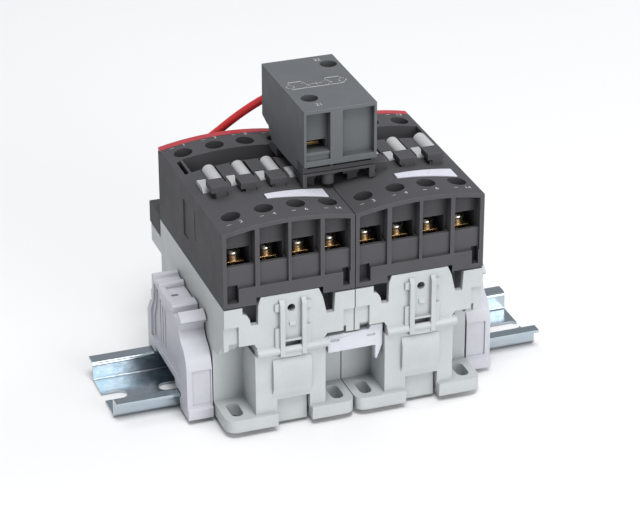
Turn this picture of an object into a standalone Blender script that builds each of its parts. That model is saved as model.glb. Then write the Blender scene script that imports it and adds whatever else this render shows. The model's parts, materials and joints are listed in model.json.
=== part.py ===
"""Reversing contactor assembly on a piece of 35 mm DIN rail.

Two four-pole contactors stand side by side between end stops, with an interlock block plugged across
their seam. +X runs along the rail, +Y points to the line side and +Z away from the mounting plate.
Lengths below are millimetres, and MM turns them into metres where an object is made. Each contactor
is built in its own coordinates, with x from 0 to MODULE_W and y and z as on the rail.
"""

import math

import bmesh
import bpy
from mathutils import Matrix, Vector

MM = 0.001
GAP = 0.3  # clearance between touching pieces

# Rail
RAIL_LENGTH = 152.0
RAIL_HALF_WIDTH = 17.5
RAIL_WALL_Y = 13.5
RAIL_DEPTH = 7.5
RAIL_SHEET = 1.0
RAIL_SLOT = (25.0, 5.2)
RAIL_SLOT_PITCH = 36.0
RAIL_FIRST_SLOT_X = -80.1

# Contactor envelope
MODULE_W = 45.0
LEFT_X = -MODULE_W
RIGHT_X = 0.0
SIDE = GAP / 2
FRONT_Y = -38.4
BACK_Y = 32.8
FOOT_FRONT_Y = -40.1
FOOT_BACK_Y = 45.9
BASE_BOTTOM_Z = 2.3
FOOT_TOP_Z = 6.8
SEAM_Z = 47.4
SIDE_TOP_Z = 74.3
CROWN = 2.5
MECH_Y = (FRONT_Y + BACK_Y) / 2

# Terminals
POLES = (6.2, 17.3, 28.1, 39.0)
OPENINGS = ((1.4, 11.0), (12.5, 22.2), (23.2, 33.1), (34.5, 43.4))
LOAD_SCREW_Y = -28.3
LINE_SCREW_Y = 23.5
SCREW_HOLE_R = 3.2
SILL_Z = 54.4
LEDGE_Z = 62.0
CHAMBER_Z = (56.8, 67.0)
STRIP_Z = (57.4, 58.6)
TIP_R = 1.9
TIP_REACH = 9.6  # from the middle of the mechanism to each contact tip
COIL_POLES = (11.0, 34.0)
COIL_SCREW_Y = 38.3

# Mechanism
TRAVEL = 4.0
SLIDERS = (10.0, 20.0, 30.0, 40.0)
TABS = (4.8, 14.8, 24.8, 34.8)
HOOKS = (7.0, 17.0, 27.0, 37.0)
SLIDER_HALF = 2.3
SLIDER_Y = (-4.0, 7.5)
TAB_Y = (-8.5, -1.2)
CORE_X = (14.0, 31.0)
CORE_HALF_Y = 17.0

# Interlock block
BLOCK_X = (-10.9, 14.1)
BLOCK_Y = (-20.0, 22.8)
BLOCK_Z = (84.3, 104.0)
FRAME_Y = (-18.7, 15.4)
ROCKER_PIVOT = (1.6, 10.6, 80.0)
PLUNGERS = (-5.0, 10.0)
BLOCK_SCREWS = ((-5.5, -9.7), (10.0, 15.2))

# End stops
STOP_INNER_X = MODULE_W + GAP
STOP_WIDTH = 8.7

# Jumper wire, from the left coil terminal to the back of the interlock block
WIRE_R = 1.45
WIRE_ROUTE = (
    (-34, 43.8, 44.6),
    (-34, 47.6, 44.8),
    (-33.4, 50.4, 49),
    (-30.6, 49.4, 58),
    (-26.2, 45.4, 66.5),
    (-20.8, 40.6, 73.6),
    (-14.8, 36.3, 80.4),
    (-8.6, 31.6, 86.6),
    (-3.4, 27.2, 91),
    (-1.6, 24, 92.6),
    (-1.5, 21.5, 92.8),
)

# The model stands with the middle of its footprint on the origin.
SHIFT_Y = -5.9

HALF_TURN = math.pi


# ---------------------------------------------------------------- scene and materials

for old in list(bpy.data.objects):
    bpy.data.objects.remove(old, do_unlink=True)

assembly = bpy.data.collections.new("reversing_contactor")
cutters = bpy.data.collections.new("cutters")
cutters.hide_render = True
for collection in (assembly, cutters):
    bpy.context.scene.collection.children.link(collection)


def material(name, colour, roughness, metallic=0.0):
    look = bpy.data.materials.new(name)
    look.use_nodes = True
    shader = look.node_tree.nodes["Principled BSDF"]
    shader.inputs["Base Color"].default_value = (*colour, 1)
    shader.inputs["Roughness"].default_value = roughness
    shader.inputs["Metallic"].default_value = metallic
    return look


WHITE = material("white_plastic", (0.61, 0.63, 0.61), 0.5)
DARK = material("dark_plastic", (0.072, 0.074, 0.082), 0.5)
GREY = material("grey_plastic", (0.125, 0.134, 0.14), 0.5)
STOP = material("stop_plastic", (0.52, 0.52, 0.57), 0.45)
CLIP = material("clip_plastic", (0.68, 0.7, 0.78), 0.4)
LABEL = material("label_plastic", (0.8, 0.8, 0.82), 0.4)
RED = material("red_plastic", (0.5, 0.07, 0.08), 0.4)
WIRE = material("red_wire", (0.58, 0.03, 0.03), 0.35)
ZINC = material("zinc_steel", (0.62, 0.66, 0.7), 0.3, 1.0)
STEEL = material("screw_steel", (0.6, 0.58, 0.54), 0.3, 1.0)
CORE_STEEL = material("core_steel", (0.33, 0.33, 0.35), 0.45, 1.0)
BRASS = material("brass", (0.66, 0.48, 0.24), 0.3, 1.0)
COPPER = material("copper", (0.72, 0.36, 0.2), 0.3, 1.0)


# ---------------------------------------------------------------- shapes


def box(x, y, z):
    """A block, given as (low, high) along each axis."""
    shape = bmesh.new()
    low, high = (Vector(ends) for ends in zip(x, y, z))
    place = Matrix.Translation((low + high) / 2) @ Matrix.Diagonal((*(high - low), 1))
    bmesh.ops.create_cube(shape, size=1, matrix=place)
    return shape


def rod(centre, radius, length, axis="Z", sides=16, top=None):
    """A cylinder about its centre, or a cone when top gives the radius of its far end."""
    shape = bmesh.new()
    turn = {
        "X": Matrix.Rotation(HALF_TURN / 2, 4, "Y"),
        "Y": Matrix.Rotation(-HALF_TURN / 2, 4, "X"),
        "Z": Matrix.Identity(4),
    }[axis]
    bmesh.ops.create_cone(
        shape,
        cap_ends=True,
        segments=sides,
        radius1=radius,
        radius2=radius if top is None else top,
        depth=length,
        matrix=Matrix.Translation(centre) @ turn,
    )
    return shape


def extruded(shape, faces, step):
    """Grows the faces by the step into a closed body."""
    grown = bmesh.ops.extrude_face_region(shape, geom=faces)["geom"]
    moved = [item for item in grown if isinstance(item, bmesh.types.BMVert)]
    bmesh.ops.translate(shape, vec=step, verts=moved)
    bmesh.ops.triangulate(shape, faces=[face for face in shape.faces if len(face.verts) > 4])
    bmesh.ops.recalc_face_normals(shape, faces=shape.faces)
    return shape


def plate(points, span, axis):
    """A flat outline extruded over a span of one axis.

    The outline is in (y, z) along X, in (x, z) along Y and in (x, y) along Z.
    """
    low, high = span
    place = {
        "X": lambda u, v: (low, u, v),
        "Y": lambda u, v: (u, low, v),
        "Z": lambda u, v: (u, v, low),
    }[axis]
    shape = bmesh.new()
    face = shape.faces.new([shape.verts.new(place(u, v)) for u, v in points])
    step = Vector([(high - low) * (axis == name) for name in "XYZ"])
    return extruded(shape, [face], step)


def tube(points, radius, resolution=2):
    """A round wire along a list of points."""
    curve = bpy.data.curves.new("wire", "CURVE")
    curve.dimensions = "3D"
    curve.bevel_depth = radius
    curve.bevel_resolution = resolution
    curve.use_fill_caps = True
    spline = curve.splines.new("POLY")
    spline.points.add(len(points) - 1)
    for point, place in zip(spline.points, points):
        point.co = (*place, 1)
    helper = bpy.data.objects.new("wire", curve)
    bpy.context.scene.collection.objects.link(helper)
    graph = bpy.context.evaluated_depsgraph_get()
    mesh = bpy.data.meshes.new_from_object(helper.evaluated_get(graph))
    bpy.data.objects.remove(helper)
    bpy.data.curves.remove(curve)
    shape = bmesh.new()
    shape.from_mesh(mesh)
    bpy.data.meshes.remove(mesh)
    bmesh.ops.remove_doubles(shape, verts=shape.verts, dist=0.0001)
    bmesh.ops.recalc_face_normals(shape, faces=shape.faces)
    return shape


def arc(centre, radius, start, end, steps):
    """Points of an arc, with angles in degrees."""
    angles = [math.radians(start + (end - start) * k / steps) for k in range(steps + 1)]
    return [(centre[0] + radius * math.cos(a), centre[1] + radius * math.sin(a)) for a in angles]


def slot(centre, width, length, span, along):
    """A slot with round ends that passes through Z."""
    reach = (length - width) / 2
    ends = arc((reach, 0), width / 2, -90, 90, 6) + arc((-reach, 0), width / 2, 90, 270, 6)
    if along == "Y":
        ends = [(-v, u) for u, v in ends]
    return plate([(centre[0] + u, centre[1] + v) for u, v in ends], span, "Z")


def spring(centre, radius, wire, span, turns, steps):
    """A helical spring between two heights, with its wire kept inside them."""
    low, high = span[0] + wire, span[1] - wire
    count = int(turns * steps)
    points = []
    for k in range(count + 1):
        angle = 2 * HALF_TURN * k / steps
        height = low + (high - low) * k / count
        points.append(
            (centre[0] + radius * math.cos(angle), centre[1] + radius * math.sin(angle), height)
        )
    return tube(points, wire, resolution=1)


def mirror_y(shape, middle):
    """Turns a shape to the other side of the plane y = middle."""
    flip = Matrix.Diagonal((1, -1, 1, 1))
    flip.translation = (0, 2 * middle, 0)
    bmesh.ops.transform(shape, matrix=flip, verts=shape.verts)
    bmesh.ops.reverse_faces(shape, faces=shape.faces)
    return shape


# ---------------------------------------------------------------- objects


def empty(name, place, parent=None):
    point = bpy.data.objects.new(name, None)
    point.empty_display_size = 0.01
    point.location = Vector(place) * MM
    point.parent = parent
    assembly.objects.link(point)
    return point


def thing(name, shape, collection, parent, pivot):
    """An object holding the shape, with its origin at the pivot."""
    mesh = bpy.data.meshes.new(name)
    bmesh.ops.translate(shape, vec=-Vector(pivot), verts=shape.verts)
    bmesh.ops.scale(shape, vec=(MM, MM, MM), verts=shape.verts)
    shape.to_mesh(mesh)
    shape.free()
    made = bpy.data.objects.new(name, mesh)
    collection.objects.link(made)
    made.location = Vector(pivot) * MM
    if parent:
        made.parent = parent
    return made


def boolean(made, operation, shapes):
    """Joins, cuts or trims a sub-part with each of the shapes, in their order."""
    for shape in shapes:
        name = f"{made.name}_{operation.lower()}_{len(made.modifiers)}"
        helper = thing(name, shape, cutters, made.parent, made.location / MM)
        helper.display_type = "WIRE"
        helper.hide_render = True
        step = made.modifiers.new(name, "BOOLEAN")
        step.operation = operation
        step.solver = "EXACT"
        step.object = helper


def part(name, look, body, add=(), cut=(), parent=None, pivot=(0, 0, 0), smooth=False):
    """One sub-part: its body, joined with every shape in add and then cut by every shape in cut."""
    made = thing(name, body, assembly, parent, pivot)
    made.data.materials.append(look)
    boolean(made, "UNION", add)
    boolean(made, "DIFFERENCE", cut)
    if smooth:
        for face in made.data.polygons:
            face.use_smooth = True
    return made


def arch_z(x):
    """Height of a contactor's crowned front face."""
    half = MODULE_W / 2
    return SIDE_TOP_Z + CROWN * (1 - ((x - half) / half) ** 2)


# ---------------------------------------------------------------- rail and end stops


def rail_outline():
    """The top-hat section, walked along its underside and back along its top."""
    inner, outer = 0.5, 0.5 + RAIL_SHEET
    web_y = RAIL_WALL_Y - outer
    flange_z = RAIL_DEPTH - RAIL_SHEET
    bend_y = RAIL_WALL_Y + inner
    under = [(web_y, 0), *arc((web_y, outer), outer, -60, 0, 2)]
    under += [*arc((bend_y, flange_z - inner), inner, 180, 90, 2)[:-1], (RAIL_HALF_WIDTH, flange_z)]
    above = [(RAIL_HALF_WIDTH, RAIL_DEPTH)]
    above += [*arc((bend_y, flange_z - inner), outer, 90, 180, 3)]
    above += [*arc((web_y, outer), inner, 0, -90, 2)]
    half = under + above
    return half + [(-y, z) for y, z in reversed(half)]


def build_rail(root):
    holes = []
    for number in range(5):
        x = RAIL_FIRST_SLOT_X + RAIL_SLOT_PITCH * number
        holes.append(slot((x, 0), RAIL_SLOT[1], RAIL_SLOT[0], (-2, 3), "X"))
    body = plate(rail_outline(), (-RAIL_LENGTH / 2, RAIL_LENGTH / 2), "X")
    part("din_rail", ZINC, body, cut=holes, parent=root)


def build_end_stop(root, side):
    """An end stop with a stepped top, which hooks under both flanges of the rail."""
    low, high = sorted((side * STOP_INNER_X, side * (STOP_INNER_X + STOP_WIDTH)))
    seat = RAIL_DEPTH + GAP
    hook_top = RAIL_DEPTH - RAIL_SHEET - GAP
    leg = RAIL_HALF_WIDTH + GAP
    hook = RAIL_HALF_WIDTH - 1.3
    front = [(-hook, hook_top), (-hook, 4.2), (-leg, 1.9), (-26.6, 1.9), (-26.6, 5.4), (-25.4, 5.9)]
    front += [(-25.4, 20), (-24.4, 23.4), (-22.2, 26.4), (-20.2, 27.4), (-18.5, 29), (-17.6, 31.2)]
    tooth = [(-18, 33.4), (-20.4, 34.7), (-20.4, 35.5), (-19.6, 36.5), (-17, 37.8), (-16.3, 37.4)]
    ridges = [(-15.9, 34.4), (-11.2, 34.4), (-10.9, 36.4), (-10.3, 37), (-6.8, 37), (-6, 36.4)]
    ridges += [(4, 36.4), (4.4, 37.2), (4.9, 37.5), (5.9, 37.5), (6.5, 36.5), (10.4, 36.5), (11, 37.6)]
    back = [(12.6, 37.8), (13.3, 37.2), (13.3, 31.4), (14.6, 31), (14.6, 27.6), (13.7, 27.2), (13.7, 26.5)]
    back += [(16.4, 26), (19.8, 21), (20.2, 5.4), (leg, 2.2), (hook, 4.2)]
    back += [(hook, hook_top), (leg, hook_top), (leg, seat), (12.2, seat), (11, 10.2)]
    back += [(-11, 10.2), (-12.2, seat), (-leg, seat), (-leg, hook_top)]
    pocket = [(-17.2, 12.6), (-21.2, 20), (-16.4, 28), (-15.2, 33.2), (-10, 34.8), (-3, 32.4)]
    pocket += [(3, 32.4), (6, 35), (11.2, 35), (12, 28.4), (15.6, 22.6), (15.8, 12.6)]
    layer = [(-14.6, 13.6), (-16, 22), (-12.4, 29), (-4, 29.6), (4, 30), (5, 33.4), (10.2, 33.4), (11, 27)]
    layer += [(13.6, 21), (13.8, 13.6)]

    def outside(depth):
        """The span of x from beyond the outer side down to the given depth below it."""
        edge = STOP_INNER_X + STOP_WIDTH
        return sorted((side * (edge + 1), side * (edge - depth)))

    inner_edge, outer_edge = side * (STOP_INNER_X - 1), side * (STOP_INNER_X + STOP_WIDTH - 1.9)
    thumb_x = sorted((inner_edge, outer_edge))
    ribs = [box(outside(1.6), (y, y + 0.9), (14.4, 30)) for y in (1.6, 4.4, 7.2)]
    hole_x = side * (STOP_INNER_X + STOP_WIDTH / 2 + 0.6)
    cuts = [
        plate(pocket, outside(0.6), "X"),
        plate(layer, outside(1.1), "X"),
        *ribs,
        box(thumb_x, (-6, 4), (35.7, 39)),
        slot((hole_x, -1.2), 1.3, 2.6, (33.6, 37), "X"),
        box((low - 1, high + 1), (-20.8, -19.9), (34.9, 35.1)),
        box(sorted((side * (STOP_INNER_X + 0.4), outer_edge)), (-27, -24.9), (6.6, 19.4)),
    ]
    name = "end_stop_left" if side < 0 else "end_stop_right"
    body = plate(front + tooth + ridges + back, (low, high), "X")
    part(name, STOP, body, cut=cuts, parent=root)


# ---------------------------------------------------------------- contactor base


def foot_outline(edge_y, inner_y, low, high, round_low):
    """A mounting foot seen from above, with one of its two outer corners rounded."""
    radius = 3.4
    out = math.copysign(1, edge_y - inner_y)
    near = edge_y - out * radius
    if round_low:
        corner = [(x, near + out * (y - near)) for x, y in arc((low + radius, near), radius, 180, 90, 3)]
        return [(low, inner_y), *corner, (high, edge_y), (high, inner_y)]
    corner = [(x, near + out * (y - near)) for x, y in arc((high - radius, near), radius, 90, 0, 3)]
    return [(low, inner_y), (low, edge_y), *corner, (high, inner_y)]


def build_base(side, place):
    low, high = SIDE, MODULE_W - SIDE
    top = SEAM_Z - SIDE
    latch = (17.9, 29.3)
    rail_side = RAIL_HALF_WIDTH + GAP
    middle = MODULE_W / 2
    shell_front, shell_back = -25.0, BACK_Y

    feet = []
    for edge, inner in ((FOOT_FRONT_Y, shell_front + 2), (FOOT_BACK_Y, shell_back - 2)):
        for x0, x1, round_low in ((low, latch[0] - 0.2, True), (latch[1] + 0.3, high, False)):
            outline = foot_outline(edge, inner, x0, x1, round_low)
            feet.append(plate(outline, (BASE_BOTTOM_Z, FOOT_TOP_Z), "Z"))

    # Front centre block, its bulged panel and the rounded ledge above
    block = box((10.5, 34.7), (FRONT_Y, shell_front + 1), (FOOT_TOP_Z - 1, 28.6))
    panel = plate([(-36, 11.3), (-37.4, 11.3), (-39.7, 16), (-39.7, 23.6), (-38.6, 26.4), (-36, 26.4)],
                  (16.3, 29.6), "X")
    ledge = plate([(-36, 28.2), (-38.8, 28.2), (-39.8, 28.9), (-40, 29.9), (-39.4, 30.9), (-38.2, 31.4),
                   (-36, 31.4)], (11.1, 35.7), "X")
    face = plate(
        [(5.0, 33.3), (10.2, 33.3), (11.5, 31), (11.5, 28.4), (34, 28.4), (34, 31), (35.3, 32.9),
         (41.0, 32.9), (41.0, top), (38.1, top), (37.7, 40.4), (35.2, 40.4), (33.8, 46.7), (32.4, 50),
         (12.7, 50), (11.8, 47.3), (11.6, 40.4), (9.2, 40.4), (8.9, 42.5), (8, 44.2), (6.4, 45),
         (6.4, top), (5.0, top)],
        (FRONT_Y, FRONT_Y + 2), "Y")
    web = box((11.4, 34), (FRONT_Y + 1, shell_front + 1), (28, 34))
    corner_side = [(FRONT_Y, top), (FRONT_Y, 40.6), (-37.5, 40.2), (-37.5, 34.2), (-34.4, 31.4),
                   (-33.5, 30.4), (-30.8, 27.4), (-24, 27.4), (-24, top)]
    corners = [plate(corner_side, span, "X") for span in ((low, 5.4), (40.7, high))]
    tail_side = [(-37.5, 35), (-37.5, 31.8), (-36.6, 31.2), (-33, 31.2), (-33, 35)]
    tails = [plate(tail_side, span, "X") for span in ((low, 1.9), (42.2, high))]

    # Bracket on the front plate
    rail_side_shape = [(-37, 27.3), (-39.4, 27.3), (-40, 27.9), (-40, 46.6), (-38.8, 48.1), (-37, 48.1)]
    rails = [plate(rail_side_shape, span, "X") for span in ((18.7, 20.4), (26.2, 27.8))]
    wings = [box(x, (-39.2, -37), z)
             for z in ((31, 38), (44.2, 46.8)) for x in ((17.2, 18.9), (27.6, 29.4))]
    bars = [box((20, 26.6), (-39.6, -37), z) for z in ((27.3, 28.7), (33, 33.7))]
    tongue = plate([(-37, 37.9), (-38.9, 38.3), (-37.9, 42.3), (-37, 42.3)], (22.3, 24.4), "X")

    # Line side: centre block and the shelf that carries the coil terminals
    rear_block = box((10.5, 34.7), (shell_back - 1, 43.6), (FOOT_TOP_Z - 1, 28.6))
    shelf = box((low, high), (shell_back - 1, 44.4), (34, 40.4))
    shelf_web = box((11.4, 34), (shell_back - 1, 42.6), (28, 34.6))
    rear_hook = box((6, 39), (RAIL_HALF_WIDTH - 1.7, rail_side + 1), (BASE_BOTTOM_Z, 6.2))

    shell = box((low, high), (shell_front, shell_back), (BASE_BOTTOM_Z, top))

    cuts = [
        box((low + 1.8, high - 1.8), (-23, 31), (10, SEAM_Z + 4)),
        box((-1, MODULE_W + 1), (-rail_side, rail_side), (0, RAIL_DEPTH + GAP)),
        box(latch, (-42, -34.3), (0, 11.3)),
        box(latch, (-42, -15), (0, 6.5)),
        box((12.6, 33), (FRONT_Y + 2, shell_front - 1.2), (36, SEAM_Z + 4)),
        box((20.4, 26.2), (-38.9, -36), (28.7, 33)),
        rod((23, -38, 44.6), 1.35, 8, "Y"),
        box((5.4, 10.4), (FRONT_Y + 2, shell_front - 1.2), (31, SEAM_Z + 4)),
        box((35, 40.7), (FRONT_Y + 2, shell_front - 1.2), (31, SEAM_Z + 4)),
    ]
    for x in (middle - 17.5, middle + 17.5):
        cuts.append(slot((x, -32.5), 4.3, 9, (0, 9), "Y"))
        cuts.append(slot((x, 38.5), 4.3, 9, (0, 9), "Y"))
        cuts.append(box((x - 1.8, x + 1.8), (-36, shell_front - 0.1), (25.7, 29.9)))

    made = part(f"base_{side}", WHITE, shell,
                add=[*feet, block, rear_block, shelf, shelf_web, web, face, *corners, *tails,
                     ledge, panel, *rails, *wings, *bars, tongue],
                cut=cuts, parent=place)
    boolean(made, "UNION", [rear_hook])


# ---------------------------------------------------------------- contactor housing


def terminal_cuts(x0, x1, pole):
    """Cutters of one load-side terminal, before they are mirrored for the line side."""
    roof = [(x, arch_z(x) - 1.4) for x in (x1, (x0 + x1) / 2, x0)]
    return [
        plate([(x0, LEDGE_Z), (x1, LEDGE_Z), *roof], (FRONT_Y - 1, FRONT_Y + 4.4), "Y"),
        box((x0 + 0.02, x1 - 0.02), (FRONT_Y - 1, FRONT_Y + 1.1), (SILL_Z, LEDGE_Z + 1)),
        box((pole - 4.2, pole + 4.2), (FRONT_Y + 2.6, FRONT_Y + 14.8), CHAMBER_Z),
        box((pole - 2.4, pole + 2.4), (FRONT_Y + 14, FRONT_Y + 17), (57.1, 60.8)),
    ]


def build_housing(side, place):
    low, high = SIDE, MODULE_W - SIDE
    bottom = SEAM_Z + SIDE
    crown = [(low + (high - low) * k / 12, 0) for k in range(12, -1, -1)]
    crown = [(x, arch_z(x)) for x, _ in crown]
    body = plate([(low, bottom), (high, bottom), *crown], (FRONT_Y, BACK_Y), "Y")

    cuts = [
        box((2, 43), (-22.4, 9), (40, 70.3)),
        box((2, 43), (8.5, 16.9), (40, 67.9)),
        box((11.2, 34), (FRONT_Y - 1, FRONT_Y + 2.3), (40, 50.3)),
        box((-1, 46), (FRONT_Y - 1, FRONT_Y + 0.5), (40, 47.9)),
    ]
    for (x0, x1), pole in zip(OPENINGS, POLES):
        cuts += terminal_cuts(x0, x1, pole)
        cuts += [mirror_y(shape, MECH_Y) for shape in terminal_cuts(x0, x1, pole)]
        for y in (LOAD_SCREW_Y, LINE_SCREW_Y):
            cuts.append(rod((pole, y, 71), SCREW_HOLE_R, 14, sides=20))
    # Deeper corners of the outer openings
    cuts += [box((1.4, 5.3), (FRONT_Y - 1, FRONT_Y + 3), (49.4, SILL_Z + 1)),
             box((40.8, 43.1), (FRONT_Y - 1, FRONT_Y + 3), (49.4, SILL_Z + 1))]
    # Slots for the carrier
    for x in SLIDERS:
        cuts.append(box((x - SLIDER_HALF - GAP, x + SLIDER_HALF + GAP),
                        (SLIDER_Y[0] - GAP, SLIDER_Y[1] + GAP), (69, 80)))
    for x in TABS:
        cuts.append(box((x - 1.5 - GAP, x + 1.5 + GAP), (TAB_Y[0] - GAP, TAB_Y[1] + GAP), (69, 80)))
    # Recess behind the sliders, its ledge, the side pocket and the rebates of the trim
    cuts += [
        box((4.4, 43.6), (10.4, 19), (69.6, 80)),
        box((4.4, 43.6), (8.1, 10.8), (72.6, 80)),
        box((2.2, 3.6), (8, 18.2), (70.5, 80)),
        plate([(x, arch_z(x) - 1.2) for x in (-1, 8, 15, 22.5, 30, 37, 46)] + [(46, 85), (-1, 85)],
              (BACK_Y - 3.2, BACK_Y + 1), "Y"),
        marker_shape(GAP, -0.7, 4),
        box((-1, 0.55), (-0.8, 4.4), (55, 68)),
    ]
    ribs = [box((x + 4.9, x + 5.5), (-15, -9.9), (arch_z(x) - 1, arch_z(x) + 0.7)) for x in SLIDERS[:3]]
    hooks = []
    for x in HOOKS:
        hooks.append(box((x - 1.2, x + 2.2), (-15, -9.2), (73, 78)))
        hooks.append(box((x - 2.8, x + 2.8), (-15, -8.6), (77.7, 79.9)))
    ridge = box((-0.0, 1), (-8.6, -7.8), (58.5, 69))
    made = part(f"housing_{side}", DARK, body, cut=cuts, parent=place)
    boolean(made, "UNION", [*ribs, *hooks, ridge])


def marker_shape(margin, low, high):
    """The tapered marker label, bent to the crown, between two offsets from it."""
    shape = bmesh.new()
    bmesh.ops.create_grid(shape, x_segments=6, y_segments=1, size=1)
    for corner in shape.verts:
        along, across = (corner.co.x + 1) / 2, (corner.co.y + 1) / 2
        x = 20.5 - margin + (20.3 + 2 * margin) * along
        front, back = -22.3 - margin - 2.5 * along, -19.1 + margin + 0.4 * along
        corner.co = (x, front + (back - front) * across, arch_z(x) + high)
    return extruded(shape, shape.faces[:], Vector((0, 0, low - high)))


def build_trim(side, place):
    """Red strip and marker label, which lie in rebates of the housing."""
    low, high = SIDE, MODULE_W - SIDE
    steps = 12
    xs = [low + (high - low) * k / steps for k in range(steps + 1)]
    upper = [(x, arch_z(x) + 0.05) for x in reversed(xs)]
    lower = [(x, arch_z(x) - 0.9 + 0.12) for x in xs]
    part(f"stripe_{side}", RED, plate(lower + upper, (BACK_Y - 2.9, BACK_Y), "Y"), parent=place)
    part(f"marker_{side}", LABEL, marker_shape(0, -0.4, 0.25), parent=place)


# ---------------------------------------------------------------- terminals


def screw(x, y, head_z, head_r, shank_r, shank_end):
    """A pan-head screw, and the cutter of its driver slot."""
    shank_top = head_z + 0.5
    head = rod((x, y, head_z + 1.2), head_r, 2.4, top=head_r * 0.9)
    shank = rod((x, y, (shank_top + shank_end) / 2), shank_r, shank_top - shank_end, sides=12)
    drive = box((x - 0.45, x + 0.45), (y - 4, y + 4), (head_z + 1.3, head_z + 3))
    return [head, shank], [drive]


def build_terminals(side, place):
    """Power terminals: a fixed contact with its screw and saddle clamp, one body for each pole and row."""
    for row, screw_y, sign in (("load", LOAD_SCREW_Y, -1), ("line", LINE_SCREW_Y, 1)):
        seat_y = sorted((screw_y + sign * 4.6, screw_y - sign * 3.6))
        tip_y = MECH_Y + sign * TIP_REACH
        tongue_y = sorted((screw_y, tip_y - sign * 2.2))
        for number, x in enumerate(POLES, 1):
            saddle = [(x - 3.8, 59.5), (x - 2.8, 59.5), (x - 2.2, 60.7), (x + 2.2, 60.7), (x + 2.8, 59.5),
                      (x + 3.8, 59.5), (x + 3.8, 60.5), (x + 2.8, 62), (x - 2.8, 62), (x - 3.8, 60.5)]
            fixing, drive = screw(x, screw_y, 61.9, 2.9, 1.6, STRIP_Z[0] + 0.4)
            add = [box((x - 2.1, x + 2.1), tongue_y, STRIP_Z),
                   rod((x, tip_y, STRIP_Z[1] + 0.2), TIP_R, 1.2, sides=12),
                   plate(saddle, seat_y, "Y"), *fixing]
            part(f"{row}_terminal_{side}_{number}", BRASS, box((x - 3.6, x + 3.6), seat_y, STRIP_Z),
                 add=add, cut=drive, parent=place)


def build_coil_terminals(side, place):
    """The coil's terminal block, one body with its two screws."""
    low, high = SIDE, MODULE_W - SIDE
    body = box((low, high), (BACK_Y + GAP, FOOT_BACK_Y), (40.7, 48.5))
    cuts = [box((22, 23), (42, 50), (39, 50))]
    screws, drives = [], []
    for x in COIL_POLES:
        cuts.append(box((x - 3.6, x + 3.6), (35, FOOT_BACK_Y + 1), (42, 47.2)))
        cuts.append(rod((x, COIL_SCREW_Y, 48), 2.6, 4))
        fixing, drive = screw(x, COIL_SCREW_Y, 44.8, 2.1, 1.4, 41.5)
        screws += fixing
        drives += drive
    made = part(f"coil_terminals_{side}", DARK, body, cut=cuts, parent=place)
    boolean(made, "UNION", screws)
    boolean(made, "DIFFERENCE", drives)


# ---------------------------------------------------------------- magnet, carrier and latch

MAGNET_Y = (MECH_Y - CORE_HALF_Y, MECH_Y + CORE_HALF_Y)
LEGS_Y = (
    (MAGNET_Y[0], MAGNET_Y[0] + 4.5),
    (MECH_Y - 4.5, MECH_Y + 4.5),
    (MAGNET_Y[1] - 4.5, MAGNET_Y[1]),
)
CORE_TOP_Z = 36.0
ARMATURE_Z = 43.0


def build_magnet(side, place):
    """Fixed core, coil and return spring. The armature travels with the carrier."""
    part(f"core_{side}", CORE_STEEL, box(CORE_X, MAGNET_Y, (10.3, 17)),
         add=[box(CORE_X, leg, (16, CORE_TOP_Z)) for leg in LEGS_Y], parent=place)

    hole = (CORE_X[0] - GAP, CORE_X[1] + GAP), (LEGS_Y[1][0] - GAP, LEGS_Y[1][1] + GAP)
    flange = (8.5, 36.5), (MECH_Y - 11.8, MECH_Y + 11.8)
    winding = (9.7, 35.3), (MECH_Y - 10.6, MECH_Y + 10.6)
    part(f"coil_{side}", COPPER, box(*winding, (18, 35)),
         add=[box(*flange, z) for z in ((17.6, 19.2), (33.6, 35.2))],
         cut=[box(*hole, (16, 37))], parent=place)

    seat = (35.5, ARMATURE_Z - GAP)
    part(f"return_spring_{side}", STEEL, spring((MODULE_W / 2, MECH_Y), 10.6, 0.5, seat, 2.5, 20),
         parent=place, smooth=True)


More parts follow.
